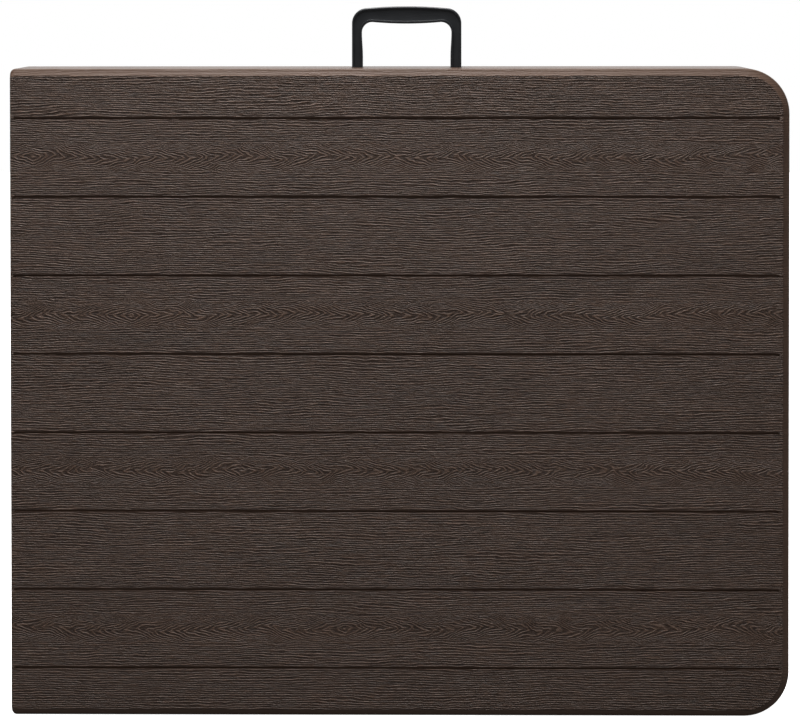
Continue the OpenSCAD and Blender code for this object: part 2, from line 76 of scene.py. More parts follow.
def length(name, text, default):
    return FloatProperty(name=name, description=text, default=default, unit="LENGTH", subtype="DISTANCE",
                         precision=4, min=0.0)


def colour(name, text, default):
    return FloatVectorProperty(name=name, description=text, default=default, subtype="COLOR", size=3,
                               min=0.0, max=1.0)


class TabletopSizes(bpy.types.PropertyGroup):
    """Shape of the two moulded halves."""

    free_corner: length("Free corner", "Radius of the outer corners at the free end", 53 * MM)
    hinge_corner: length("Hinge corner", "Radius of the corners at the hinge end", 6 * MM)
    bevel_width: length("Bevel width", "Width of the sloping band round the top", 8.6 * MM)
    bevel_depth: length("Bevel depth", "How far that band falls", 4.6 * MM)
    edge_radius: length("Edge radius", "Rounding where the band meets the side", 2.6 * MM)
    hinge_edge: length("Hinge edge", "Rounding of the top's edge at the hinge end", 0.7 * MM)
    rim_width: length("Rim width", "Thickness of the rim wall round the underside", 14 * MM)
    rim_radius: length("Rim radius", "Rounding of the rim's edges", 1.6 * MM)
    recess_depth: length("Recess depth", "Depth of the hollow underside", 28 * MM)
    recess_radius: length("Recess radius", "Rounding where the recess floor meets the rim", 4 * MM)
    groove_count: IntProperty(name="Grooves", description="Number of grooves that mark the planks",
                              default=8, min=1, max=12)
    plank_width: length("Plank width", "Distance between two grooves", 92.4 * MM)
    groove_width: length("Groove width", "Width of a groove at the surface", 2.7 * MM)
    groove_depth: length("Groove depth", "Depth of a groove", 1.5 * MM)
    groove_start: length("Groove start", "From the hinge end to the start of a groove", 4.5 * MM)
    groove_end: length("Groove end", "From the end of a groove to the free end", 12.5 * MM)
    dimple_pitch: length("Dimple pitch", "Distance between two dimples of the underside along it", 90 * MM)
    dimple_edge: length("Dimple edge", "From the hinge end to the first dimple", 66 * MM)
    dimple_radius: length("Dimple radius", "Radius of a dimple's mouth", 11 * MM)
    dimple_tip: length("Dimple tip", "Radius of a dimple's floor", 6 * MM)
    dimple_depth: length("Dimple depth", "Depth of a dimple", 9 * MM)
    dimple_gap: length("Dimple gap", "Least distance from a dimple's mouth to a screw", 7 * MM)
    groove_floor: length("Groove floor", "Width of a groove at its floor", 0.7 * MM)
    groove_hook: length("Groove hook", "How far a groove turns down at the hinge end", 2.4 * MM)
    slot_below: length("Slot below", "Room in a hinge slot below the plates", 3.5 * MM)
    slot_above: length("Slot above", "Room in a hinge slot above the plates", 4.5 * MM)
    pocket_reach: length("Pocket reach", "Reach of the latch pocket from the joint between the halves", 32 * MM)
    pocket_side: length("Pocket side", "Room in the latch pocket at either end of the hook", 4 * MM)


class HandleSizes(bpy.types.PropertyGroup):
    """Shape of the carry handle."""

    width: length("Width", "Outside width of the handle", 130.5 * MM)
    leg_top: length("Leg at the bend", "Width of a leg just under the bend", 11.8 * MM)
    leg_foot: length("Leg at the edge", "Width of a leg where it enters the table's edge", 13.0 * MM)
    grip_end: length("Grip at the bends", "Height of the grip next to a bend", 16.6 * MM)
    crown: length("Crown", "How far the grip's top rises towards its middle", 2.2 * MM)
    belly: length("Belly", "How far the grip's underside sinks towards its middle", 1.9 * MM)
    outer_radius: length("Outer bend", "Outside radius of the bends", 18 * MM)
    inner_radius: length("Inner bend", "Inside radius of the bends", 12.4 * MM)
    rib: length("Rib", "Width of the raised rib along each edge", 1.7 * MM)
    web_depth: length("Web depth", "How far the web lies below the ribs", 1.1 * MM)
    foot: length("Foot", "Height of the stops at the legs' feet", 8 * MM)
    foot_reach: length("Foot reach", "How far a stop sticks out", 5 * MM)


class HardwareSizes(bpy.types.PropertyGroup):
    """Edge rounding of the metal and small plastic parts."""

    sheet_edge: length("Sheet edge", "Rounding of pressed sheet-metal edges", 0.35 * MM)
    tube_edge: length("Tube edge", "Rounding of a square tube's corners", 1.3 * MM)
    plastic_edge: length("Plastic edge", "Rounding of moulded edges", 0.6 * MM)
    fastener_edge: length("Fastener edge", "Rounding of bolt and rivet heads", 0.7 * MM)
    recess_share: FloatProperty(name="Recess share", default=0.24, min=0.0, max=1.0,
                                description="Width of a screw's cross as a share of its radius")


class Finishes(bpy.types.PropertyGroup):
    """Colours of the finishes, with painted light on the raised grain and painted shade in its hollows in the
    two plank colours.
    """

    # Plank colours: the lighter one is painted light on the raised grain and the darker one is painted shade in
    # the grain's hollows. Off the grained top, both are the ends of a cloudy tone.
    crest: colour("Grain crests", "Plank plastic on the raised grain", (0.126, 0.077, 0.0545))
    hollow_shade_and_tone: colour("Grain valleys", "Plank plastic in the hollows of the grain", (0.035, 0.0207, 0.0148))
    paint: colour("Frame paint", "Powder coat of the rails and legs", (0.032, 0.029, 0.028))
    black: colour("Black plastic", "Caps, guides and cradles", (0.012, 0.012, 0.013))
    handle: colour("Handle plastic", "Carry handle", (0.013, 0.014, 0.016))
    zinc: colour("Zinc", "Plated steel", (0.56, 0.57, 0.58))


class StudioSettings(bpy.types.PropertyGroup):
    """Camera and light."""

    camera_place: FloatVectorProperty(name="Camera place", description="Where the camera stands", size=3,
                                      default=(0.02333, -2.3, 0.84563), unit="LENGTH", subtype="TRANSLATION")
    camera_turn: FloatVectorProperty(name="Camera turn", description="Pitch, roll and yaw off straight ahead",
                                     size=3, subtype="EULER",
                                     default=(math.radians(-0.654), math.radians(0.039), math.radians(0.487)))
    focal_length: FloatProperty(name="Focal length", description="Lens on a 36 mm sensor, in millimetres",
                                default=88.024, min=10.0)
    axis_lean: FloatProperty(name="Axis lean", default=0.17793,
                             description="Fall of the view's axis against the film, as in a shift lens")
    sky: FloatProperty(name="Sky", description="Light from the white surroundings", default=0.13, min=0.0)
    backdrop: FloatProperty(name="Backdrop", description="Light from the white backdrop behind the table",
                            default=1.0, min=0.0)
    key: FloatProperty(name="Key light", description="Power of the large overhead light", default=165.0,
                       min=0.0, unit="POWER")
    fill: FloatProperty(name="Fill light", description="Power of the front light", default=1.5, min=0.0,
                        unit="POWER")


def sizes(context, group):
    return getattr(context.scene, group)


# ---- node trees ----

class Graph:
    """Adds nodes to one node tree and links them."""

    def __init__(self, tree):
        self.tree = tree

    def feed(self, socket, value):
        if isinstance(value, bpy.types.NodeSocket):
            self.tree.links.new(value, socket)
        else:
            socket.default_value = value

    def add(self, kind, inputs=None, **settings):
        node = self.tree.nodes.new(kind)
        for name, value in settings.items():
            setattr(node, name, value)
        for name, value in (inputs or {}).items():
            self.feed(node.inputs[name], value)
        return node

    def math(self, operation, *values, clamp=False):
        node = self.add("ShaderNodeMath", operation=operation, use_clamp=clamp)
        for socket, value in zip(node.inputs, values):
            self.feed(socket, value)
        return node.outputs[0]

    def ramp(self, value, low, high, to_low=0.0, to_high=1.0):
        """Smooth step from to_low at low up to to_high at high."""
        node = self.add("ShaderNodeMapRange", interpolation_type="SMOOTHSTEP")
        for name, number in (("Value", value), ("From Min", low), ("From Max", high),
                             ("To Min", to_low), ("To Max", to_high)):
            self.feed(node.inputs[name], number)
        return node.outputs[0]

    def vector(self, x, y, z):
        return self.add("ShaderNodeCombineXYZ", {"X": x, "Y": y, "Z": z}).outputs[0]

    def noise(self, place, scale=1.0, detail=2.0, roughness=0.5):
        node = self.add("ShaderNodeTexNoise", {"Vector": place, "Scale": scale, "Detail": detail,
                                               "Roughness": roughness})
        return node.outputs["Fac"]

    def centred_noise(self, place, reach, **settings):
        """Noise from about -reach to reach."""
        return self.math("MULTIPLY", self.math("SUBTRACT", self.noise(place, **settings), 0.5), 2 * reach)

    def mix_value(self, share, a, b):
        node = self.add("ShaderNodeMix", {0: share, 2: a, 3: b}, data_type="FLOAT")
        return node.outputs[0]

    def mix_colour(self, share, a, b, blend="MIX"):
        node = self.add("ShaderNodeMix", {0: share, 6: a, 7: b}, data_type="RGBA", blend_type=blend)
        return node.outputs[2]


def group_tree(name, kind, inputs, outputs):
    """A new node group with its sockets, and the graph, group input and group output nodes."""
    tree = bpy.data.node_groups.new(name, kind)
    for socket_name, socket_kind, default in inputs:
        socket = tree.interface.new_socket(socket_name, in_out="INPUT", socket_type=socket_kind)
        if default is not None:
            socket.default_value = default
    for socket_name, socket_kind in outputs:
        tree.interface.new_socket(socket_name, in_out="OUTPUT", socket_type=socket_kind)
    graph = Graph(tree)
    return graph, graph.add("NodeGroupInput"), graph.add("NodeGroupOutput")


def wood_grain_group():
    """Embossed grain of a plank: wavy ridges along X, with nested arches on every other plank."""
    graph, given, result = group_tree(
        "wood_grain", "ShaderNodeTree",
        [("Vector", "NodeSocketVector", None), ("Plank Width", "NodeSocketFloat", 0.09),
         ("Middle", "NodeSocketFloat", 0.0), ("Rows Below", "NodeSocketFloat", 4.5),
         ("Ring Pitch", "NodeSocketFloat", 2.7), ("Arch Reach", "NodeSocketFloat", 15.0)],
        [("Height", "NodeSocketFloat"), ("Tone", "NodeSocketFloat")])
    do = graph.math
    split = graph.add("ShaderNodeSeparateXYZ", {0: given.outputs["Vector"]})
    along = do("MULTIPLY", split.outputs["X"], 1000.0)
    across = do("MULTIPLY", split.outputs["Z"], 1000.0)
    rows = do("ADD", do("DIVIDE", do("SUBTRACT", split.outputs["Z"], given.outputs["Middle"]),
                        given.outputs["Plank Width"]), given.outputs["Rows Below"])
    plank = do("FLOOR", rows)
    width = do("MULTIPLY", given.outputs["Plank Width"], 1000.0)
    off_middle = do("MULTIPLY", do("SUBTRACT", do("FRACT", rows), 0.5), width)
    seed = do("MULTIPLY", plank, 37.7)

    def place(x_size, z_size, shift, x=along, z=across):
        return graph.vector(do("ADD", do("DIVIDE", x, x_size), seed), do("ADD", seed, shift),
                            do("DIVIDE", z, z_size))

    slow = graph.centred_noise(place(130.0, 34.0, 1.0), 6.0, detail=1.0)
    quick = graph.centred_noise(place(15.0, 5.0, 2.0), 2.2, detail=3.0)
    flow = do("ADD", do("ADD", across, slow), do("MULTIPLY", quick, 0.6))
    turn = do("DIVIDE", math.tau, given.outputs["Ring Pitch"])

    # Straight planks: broken streaks over a band of wavy lines
    streaks = graph.noise(place(13.0, 1.0, 3.0, z=flow), detail=3.0, roughness=0.65)
    phase = graph.centred_noise(place(38.0, 7.0, 4.0), 3.6)
    wave = do("SINE", do("ADD", do("MULTIPLY", flow, turn), phase))
    lines = do("SUBTRACT", do("POWER", do("MULTIPLY_ADD", wave, 0.5, 0.5), 3.5), 0.3)
    held = do("MULTIPLY_ADD", graph.noise(place(11.0, 2.4, 8.0)), 3.6, -0.6)
    straight = do("ADD", do("MULTIPLY", do("SUBTRACT", streaks, 0.5), 2.0), do("MULTIPLY", lines, held))

    # Arched planks: pointed arches nested along the middle, which turn round every hand's breadth or two
    reach = given.outputs["Arch Reach"]
    warped = do("ADD", along, graph.centred_noise(place(110.0, 60.0, 5.0), 20.0, detail=1.0))
    climb = do("MULTIPLY", do("PINGPONG", do("ADD", warped, do("MULTIPLY", plank, 61.0)), 430.0), 0.5)
    wander = graph.centred_noise(graph.vector(do("ADD", do("DIVIDE", along, 60.0), seed), 4.4, plank), 12.0)
    bent = do("ADD", do("ADD", off_middle, wander), do("MULTIPLY", quick, 0.6))
    square = do("MULTIPLY", bent, bent)
    spread = do("ADD", do("MULTIPLY", do("SQRT", do("ADD", square, 1.0)), 1.1), do("DIVIDE", square, reach))
    uneven = graph.centred_noise(place(20.0, 9.0, 15.0), 6.0, detail=2.0)
    rings = do("ADD", do("ADD", climb, spread), do("ADD", do("MULTIPLY", quick, 0.7), uneven))
    ridges = do("SINE", do("MULTIPLY", rings, do("MULTIPLY", turn, 0.5)))
    crests = do("SUBTRACT", do("MULTIPLY", do("POWER", do("MULTIPLY_ADD", ridges, 0.5, 0.5), 2.4), 1.7), 0.55)
    broken = graph.noise(place(8.0, 2.6, 9.0), detail=2.0)
    arched = do("ADD", do("MULTIPLY", crests, do("MULTIPLY_ADD", broken, 2.2, -0.45)),
                do("MULTIPLY", do("SUBTRACT", streaks, 0.5), 1.8))
    odd = do("MODULO", plank, 2.0)
    edge = do("ABSOLUTE", do("ADD", off_middle, do("MULTIPLY", slow, 0.8)))
    zone = graph.ramp(do("ADD", edge, graph.centred_noise(place(14.0, 6.0, 6.0), 9.0)), 20.0, 11.0)
    share = do("MULTIPLY", odd, zone)
    emboss = graph.mix_value(share, straight, arched)

    stipple = graph.centred_noise(place(1.3, 0.9, 12.0), 0.5, detail=2.0)
    depth = do("MULTIPLY_ADD", graph.noise(place(55.0, 16.0, 14.0)), 1.1, 0.4)
    height = do("MULTIPLY_ADD", do("ADD", do("MULTIPLY", emboss, depth), stipple), 0.5, 0.5)
    graph.feed(result.inputs["Height"], height)
    tone = do("ADD", graph.centred_noise(place(240.0, 30.0, 17.0), 0.35),
              graph.centred_noise(graph.vector(plank, 3.1, 0.7), 0.18))
    graph.feed(result.inputs["Tone"], do("ADD", tone, 0.5))
    return graph.tree


def pebble_group():
    """Fine moulded or sprayed texture, and a cloudy tone."""
    graph, given, result = group_tree(
        "pebble", "ShaderNodeTree",
        [("Vector", "NodeSocketVector", None), ("Grain", "NodeSocketFloat", 900.0),
         ("Cloud", "NodeSocketFloat", 14.0)],
        [("Height", "NodeSocketFloat"), ("Tone", "NodeSocketFloat")])
    pebbles = graph.add("ShaderNodeTexVoronoi", {"Vector": given.outputs["Vector"],
                                                 "Scale": given.outputs["Grain"]}, feature="SMOOTH_F1")
    fine = graph.noise(given.outputs["Vector"], given.outputs["Grain"], detail=3.0)
    height = graph.math("MULTIPLY_ADD", pebbles.outputs["Distance"], 0.6, graph.math("MULTIPLY", fine, 0.5))
    graph.feed(result.inputs["Height"], height)
    graph.feed(result.inputs["Tone"], graph.noise(given.outputs["Vector"], given.outputs["Cloud"], detail=3.0))
    return graph.tree


def edge_wear_group():
    """Mask of rubbed outer edges, broken up by noise."""
    graph, given, result = group_tree(
        "edge_wear", "ShaderNodeTree",
        [("Vector", "NodeSocketVector", None), ("Amount", "NodeSocketFloat", 0.5)],
        [("Mask", "NodeSocketFloat")])
    pointed = graph.add("ShaderNodeNewGeometry").outputs["Pointiness"]
    edges = graph.ramp(pointed, 0.53, 0.62)
    patches = graph.ramp(graph.noise(given.outputs["Vector"], 160.0, detail=4.0), 0.42, 0.62)
    mask = graph.math("MULTIPLY", graph.math("MULTIPLY", edges, patches), given.outputs["Amount"], clamp=True)
    graph.feed(result.inputs["Mask"], mask)
    return graph.tree


def scuff_group():
    """Long faint rub marks that change the gloss."""
    graph, given, result = group_tree(
        "scuffs", "ShaderNodeTree",
        [("Vector", "NodeSocketVector", None), ("Size", "NodeSocketFloat", 60.0)],
        [("Mask", "NodeSocketFloat")])
    stretched = graph.add("ShaderNodeMapping", {"Vector": given.outputs["Vector"], "Scale": (0.35, 1.0, 1.6),
                                                "Rotation": (0.0, 0.5, 0.0)})
    marks = graph.noise(stretched.outputs[0], given.outputs["Size"], detail=5.0, roughness=0.7)
    graph.feed(result.inputs["Mask"], graph.ramp(marks, 0.5, 0.72))
    return graph.tree


GROUPS = {"wood_grain": wood_grain_group, "pebble": pebble_group, "edge_wear": edge_wear_group,
          "scuffs": scuff_group}


def place_group(graph, name, **inputs):
    """The named shader group as a node of this material, built on its first use."""
    tree = bpy.data.node_groups.get(name) or GROUPS[name]()
    node = graph.add("ShaderNodeGroup", node_tree=tree)
    for key, value in inputs.items():
        graph.feed(node.inputs[key.replace("_", " ")], value)
    return node


def new_material(name, **shader_values):
    """A material with a Principled shader: returns it, its graph, its shader and its object coordinates."""
    made = bpy.data.materials.new(name)
    made.use_nodes = True
    made.node_tree.nodes.clear()
    graph = Graph(made.node_tree)
    shader = graph.add("ShaderNodeBsdfPrincipled")
    for key, value in shader_values.items():
        shader.inputs[key.replace("_", " ")].default_value = value
    graph.add("ShaderNodeOutputMaterial", {"Surface": shader.outputs[0]})
    return made, graph, shader, graph.add("ShaderNodeTexCoord").outputs["Object"]


def rgba(value, gain=1.0):
    return (value[0] * gain, value[1] * gain, value[2] * gain, 1.0)


def add_bump(graph, shader, height, distance):
    bump = graph.add("ShaderNodeBump", {"Height": height, "Distance": distance})
    graph.feed(shader.inputs["Normal"], bump.outputs[0])


def plank_plastic(context):
    """Brown moulded plastic: wood grain on the top and its sloping edge, coloured lighter on the raised grain
    and darker in its hollows as painted light and shade, fine pebble elsewhere.
    """
    top, tints = sizes(context, "tabletop_sizes"), sizes(context, "finishes")
    made, graph, shader, place = new_material("plank_plastic", IOR=1.46)
    grain = place_group(graph, "wood_grain", Vector=place, Plank_Width=top.plank_width,
                        Middle=(PANEL_LOW.z + PANEL_HIGH.z) / 2, Rows_Below=(top.groove_count + 1) / 2)
    pebble = place_group(graph, "pebble", Vector=place, Grain=700.0, Cloud=9.0)
    scuffs = place_group(graph, "scuffs", Vector=place, Size=22.0)
    split = graph.add("ShaderNodeSeparateXYZ", {0: place})
    depth = graph.math("ABSOLUTE", split.outputs["Y"])
    face = -PANEL_LOW.y
    on_top = graph.ramp(depth, face - top.bevel_depth - 1.5 * MM, face - top.bevel_depth + 0.5 * MM)
    on_face = graph.ramp(depth, face - 0.6 * MM, face - 0.1 * MM)
    # Share of the lighter plank colour. On the face it follows the grain's height, which paints light on the
    # crests and shade in the hollows. It is a fixed share on the sloping band, and it also sets the gloss.
    crest = graph.mix_value(on_face, 0.68, graph.ramp(grain.outputs["Height"], 0.12, 0.9))
    grained = graph.mix_colour(crest, rgba(tints.hollow_shade_and_tone), rgba(tints.crest))
    plain = graph.mix_colour(pebble.outputs["Tone"], rgba(tints.hollow_shade_and_tone, 1.25), rgba(tints.crest, 0.85))
    base = graph.mix_colour(on_top, plain, grained)
    toned = graph.math("MULTIPLY_ADD", grain.outputs["Tone"], 0.5, 0.75)
    base = graph.mix_colour(1.0, base, graph.vector(toned, toned, toned), "MULTIPLY")
    graph.feed(shader.inputs["Base Color"], base)
    gloss = graph.math("MULTIPLY_ADD", crest, -0.1, 0.56)
    gloss = graph.math("MULTIPLY_ADD", scuffs.outputs["Mask"], -0.05, gloss)
    graph.feed(shader.inputs["Roughness"], graph.mix_value(on_top, 0.36, gloss))
    graph.feed(shader.inputs["Specular IOR Level"], graph.mix_value(on_top, 0.5, 0.27))
    low = graph.math("MULTIPLY", pebble.outputs["Height"], 0.06)
    swing = graph.math("SUBTRACT", grain.outputs["Height"], 0.5)
    relief = graph.math("MULTIPLY_ADD", swing, graph.mix_value(on_face, 0.16, 1.0), 0.5)
    add_bump(graph, shader, graph.mix_value(on_top, low, relief), 1.6 * MM)
    return made


def moulded_plastic(name, tint, roughness, grain):
    """Small black mouldings: fine pebble, slight cloudiness and paler rubbed edges."""
    made, graph, shader, place = new_material(name, Roughness=roughness, IOR=1.5)
    pebble = place_group(graph, "pebble", Vector=place, Grain=grain, Cloud=60.0)
    wear = place_group(graph, "edge_wear", Vector=place, Amount=0.5)
    scuffs = place_group(graph, "scuffs", Vector=place, Size=90.0)
    base = graph.mix_colour(pebble.outputs["Tone"], rgba(tint, 0.8), rgba(tint, 1.3))
    base = graph.mix_colour(wear.outputs["Mask"], base, rgba(tint, 2.6))
    graph.feed(shader.inputs["Base Color"], base)
    gloss = graph.math("MULTIPLY_ADD", pebble.outputs["Tone"], 0.12, roughness - 0.06)
    gloss = graph.math("MULTIPLY_ADD", scuffs.outputs["Mask"], 0.15, gloss)
    graph.feed(shader.inputs["Roughness"], gloss)
    add_bump(graph, shader, pebble.outputs["Height"], 0.05 * MM)
    return made


def powder_coat(context):
    """Dark sprayed coat with orange peel, thin on rubbed edges."""
    tint = sizes(context, "finishes").paint
    made, graph, shader, place = new_material("powder_coat", Roughness=0.42, IOR=1.5)
    pebble = place_group(graph, "pebble", Vector=place, Grain=650.0, Cloud=30.0)
    wear = place_group(graph, "edge_wear", Vector=place, Amount=0.6)
    scuffs = place_group(graph, "scuffs", Vector=place, Size=45.0)
    base = graph.mix_colour(pebble.outputs["Tone"], rgba(tint, 0.85), rgba(tint, 1.2))
    base = graph.mix_colour(wear.outputs["Mask"], base, rgba(tint, 3.5))
    graph.feed(shader.inputs["Base Color"], base)
    graph.feed(shader.inputs["Roughness"], graph.math("MULTIPLY_ADD", scuffs.outputs["Mask"], 0.18, 0.38))
    add_bump(graph, shader, pebble.outputs["Height"], 0.12 * MM)
    return made


def zinc_plating(context, name, roughness, flake):
    """Plated steel with a faint crystal pattern, dull patches and brighter edges."""
    tint = sizes(context, "finishes").zinc
    made, graph, shader, place = new_material(name, Roughness=roughness, Metallic=1.0)
    flakes = graph.add("ShaderNodeTexVoronoi", {"Vector": place, "Scale": flake})
    pebble = place_group(graph, "pebble", Vector=place, Grain=1500.0, Cloud=70.0)
    wear = place_group(graph, "edge_wear", Vector=place, Amount=0.7)
    scuffs = place_group(graph, "scuffs", Vector=place, Size=120.0)
    shade = graph.add("ShaderNodeSeparateColor", {0: flakes.outputs["Color"]}).outputs[0]
    base = graph.mix_colour(shade, rgba(tint, 0.82), rgba(tint, 1.12))
    base = graph.mix_colour(graph.ramp(pebble.outputs["Tone"], 0.45, 0.7), base, rgba(tint, 0.62))
    base = graph.mix_colour(wear.outputs["Mask"], base, rgba(tint, 1.4))
    graph.feed(shader.inputs["Base Color"], base)
    gloss = graph.math("MULTIPLY_ADD", shade, 0.1, roughness - 0.05)
    gloss = graph.math("MULTIPLY_ADD", scuffs.outputs["Mask"], 0.16, gloss)
    graph.feed(shader.inputs["Roughness"], gloss)
    add_bump(graph, shader, pebble.outputs["Height"], 0.03 * MM)
    return made


def finish_of(context, slot):
    """The material of one of the record's slots, made on its first use."""
    tints = sizes(context, "finishes")
    makers = {
        "brown_plastic": lambda: plank_plastic(context),
        "frame_paint": lambda: powder_coat(context),
        "black_plastic": lambda: moulded_plastic("black_moulding", tints.black, 0.5, 1100.0),
        "handle_plastic": lambda: moulded_plastic("handle_moulding", tints.handle, 0.36, 900.0),
        "zinc_fasteners": lambda: zinc_plating(context, "bright_zinc", 0.27, 900.0),
        "zinc_plate": lambda: zinc_plating(context, "zinc_sheet", 0.36, 260.0),
    }
    store = context.scene.get("finish_names") or {}
    if slot not in store:
        made = makers[slot]()
        names = dict(store)
        names[slot] = made.name
        context.scene["finish_names"] = names
        return made
    return bpy.data.materials[store[slot]]


# ---- mesh helpers ----

def finished_piece(context, name, mesh, body, slot, nodes, smooth_angle=35):
    """Adds a mesh to the scene as a piece on a body, in place of CAD nodes."""
    mesh.name = name
    piece = bpy.data.objects.new(name, mesh)
    context.scene.collection.objects.link(piece)
    mesh.materials.clear()
    mesh.materials.append(finish_of(context, slot))
    mesh.polygons.foreach_set("material_index", [0] * len(mesh.polygons))
    mesh.shade_smooth()
    mesh.set_sharp_from_angle(angle=math.radians(smooth_angle))
    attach(piece, body)
    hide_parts(*nodes)
    return piece


def scratch_object(context, mesh):
    """A helper object that is removed after use."""
    helper = bpy.data.objects.new("helper", mesh)
    context.scene.collection.objects.link(helper)
    return helper


def baked(context, helper):
    """The helper's mesh with its modifiers applied. The helper is removed."""
    context.view_layer.update()
    graph = context.evaluated_depsgraph_get()
    mesh = bpy.data.meshes.new_from_object(helper.evaluated_get(graph))
    bpy.data.objects.remove(helper)
    return mesh


def mesh_from(points, faces):
    mesh = bpy.data.meshes.new("helper")
    mesh.from_pydata(points, [], faces)
    mesh.update()
    return mesh


def outward(mesh):
    """Merges doubles and turns every face outwards."""
    work = bmesh.new()
    work.from_mesh(mesh)
    bmesh.ops.remove_doubles(work, verts=work.verts, dist=0.005 * MM)
    bmesh.ops.recalc_face_normals(work, faces=work.faces)
    work.to_mesh(mesh)
    work.free()
    return mesh


def lofted(rings):
    """Joins rings that have the same number of points, and closes both ends."""
    count = len(rings[0])
    points = [point for ring in rings for point in ring]
    faces = []
    for row in range(len(rings) - 1):
        for i in range(count):
            j = (i + 1) % count
            faces.append((row * count + i, row * count + j, (row + 1) * count + j, (row + 1) * count + i))
    faces.append(tuple(reversed(range(count))))
    faces.append(tuple((len(rings) - 1) * count + i for i in range(count)))
    return mesh_from(points, faces)


def box_mesh(low, high):
    x0, y0, z0 = low
    x1, y1, z1 = high
    ring = [(x0, y0), (x1, y0), (x1, y1), (x0, y1)]
    return lofted([[(x, y, z) for x, y in ring] for z in (z0, z1)])


def joined(meshes):
    """One mesh of several, without merging their points."""
    points, faces = [], []
    for mesh in meshes:
        base = len(points)
        points += [tuple(vertex.co) for vertex in mesh.vertices]
        faces += [tuple(base + i for i in face.vertices) for face in mesh.polygons]
        bpy.data.meshes.remove(mesh)
    return mesh_from(points, faces)


def rounded(context, mesh, width, segments=2, angle=38):
    """The mesh with its sharp edges rounded."""
    helper = scratch_object(context, mesh)
    bevel = helper.modifiers.new("Rounded edges", "BEVEL")
    bevel.width = width
    bevel.segments = segments
    bevel.limit_method = "ANGLE"
    bevel.angle_limit = math.radians(angle)
    bevel.miter_outer = "MITER_ARC"
    bevel.use_clamp_overlap = True
    return baked(context, helper)


def merged_copy(node, flat_angle=0.6):
    """A CAD node's mesh with its loose triangles joined into whole faces."""
    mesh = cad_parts[node].data.copy()
    work = bmesh.new()
    work.from_mesh(mesh)
    bmesh.ops.remove_doubles(work, verts=work.verts, dist=0.002 * MM)
    bmesh.ops.dissolve_limit(work, angle_limit=math.radians(flat_angle), verts=work.verts, edges=work.edges)
    work.to_mesh(mesh)
    work.free()
    return mesh


def loose_boxes(node):
    """Lowest and highest corner of each separate solid in a CAD node."""
    mesh = merged_copy(node)
    work = bmesh.new()
    work.from_mesh(mesh)
    waiting = set(work.verts)
    boxes = []
    while waiting:
        found = [waiting.pop()]
        for vertex in found:
            for edge in vertex.link_edges:
                other = edge.other_vert(vertex)
                if other in waiting:
                    waiting.discard(other)
                    found.append(other)
        low = Vector([min(vertex.co[i] for vertex in found) for i in range(3)])
        high = Vector([max(vertex.co[i] for vertex in found) for i in range(3)])
        boxes.append((low, high))
    work.free()
    bpy.data.meshes.remove(mesh)
    return sorted(boxes, key=lambda pair: tuple(round(value, 5) for value in pair[0]))


# ---- geometry nodes ----

def geometry_tree(name, inputs):
    return group_tree(name, "GeometryNodeTree",
                      [("Geometry", "NodeSocketGeometry", None), *inputs,
                       ("Material", "NodeSocketMaterial", None)],
                      [("Geometry", "NodeSocketGeometry")])


def end_tree(graph, given, result, geometry):
    solid = graph.add("GeometryNodeRealizeInstances", {"Geometry": geometry})
    painted = graph.add("GeometryNodeSetMaterial", {"Geometry": solid.outputs[0],
                                                    "Material": given.outputs["Material"]})
    graph.feed(result.inputs["Geometry"], painted.outputs[0])
    return graph.tree


def run_tree(context, mesh, tree, material, **values):
    """Runs a tree on a mesh, with its inputs set, and returns the result as a plain mesh."""
    helper = scratch_object(context, mesh)
    modifier = helper.modifiers.new("Repeat", "NODES")
    modifier.node_group = tree
    values = {**values, "Material": material}
    for item in tree.interface.items_tree:
        if item.in_out == "INPUT" and item.name in values:
            modifier[item.identifier] = values[item.name]
    return baked(context, helper)


def groove_tree():
    """Bars that cut the plank grooves: one path, repeated up the tabletop."""
    graph, given, result = geometry_tree(
        "plank_grooves", [("Count", "NodeSocketInt", 8), ("Pitch", "NodeSocketFloat", 0.09),
                          ("Width", "NodeSocketFloat", 0.003), ("Floor", "NodeSocketFloat", 0.001),
                          ("Depth", "NodeSocketFloat", 0.0015)])
    path = graph.add("GeometryNodeMeshToCurve", {"Mesh": given.outputs["Geometry"]})
    upright = graph.add("GeometryNodeSetCurveNormal", {"Curve": path.outputs[0]})
    upright.mode = "MINIMUM_TWIST"
    profile = graph.add("GeometryNodeCurvePrimitiveQuadrilateral",
                        {"Height": graph.math("MULTIPLY", given.outputs["Depth"], 2.0),
                         "Bottom Width": given.outputs["Floor"],
                         "Top Width": graph.math("MULTIPLY_ADD", given.outputs["Width"], 2.0,
                                                 graph.math("MULTIPLY", given.outputs["Floor"], -1.0)),
                         "Offset": 0.0}, mode="TRAPEZOID")
    bar = graph.add("GeometryNodeCurveToMesh", {"Curve": upright.outputs[0],
                                                "Profile Curve": profile.outputs[0],
                                                "Fill Caps": True})
    step = graph.vector(0.0, 0.0, given.outputs["Pitch"])
    spots = graph.add("GeometryNodeMeshLine", {"Count": given.outputs["Count"], "Offset": step}, mode="OFFSET")
    bars = graph.add("GeometryNodeInstanceOnPoints", {"Points": spots.outputs[0], "Instance": bar.outputs[0]})
    return end_tree(graph, given, result, bars.outputs[0])


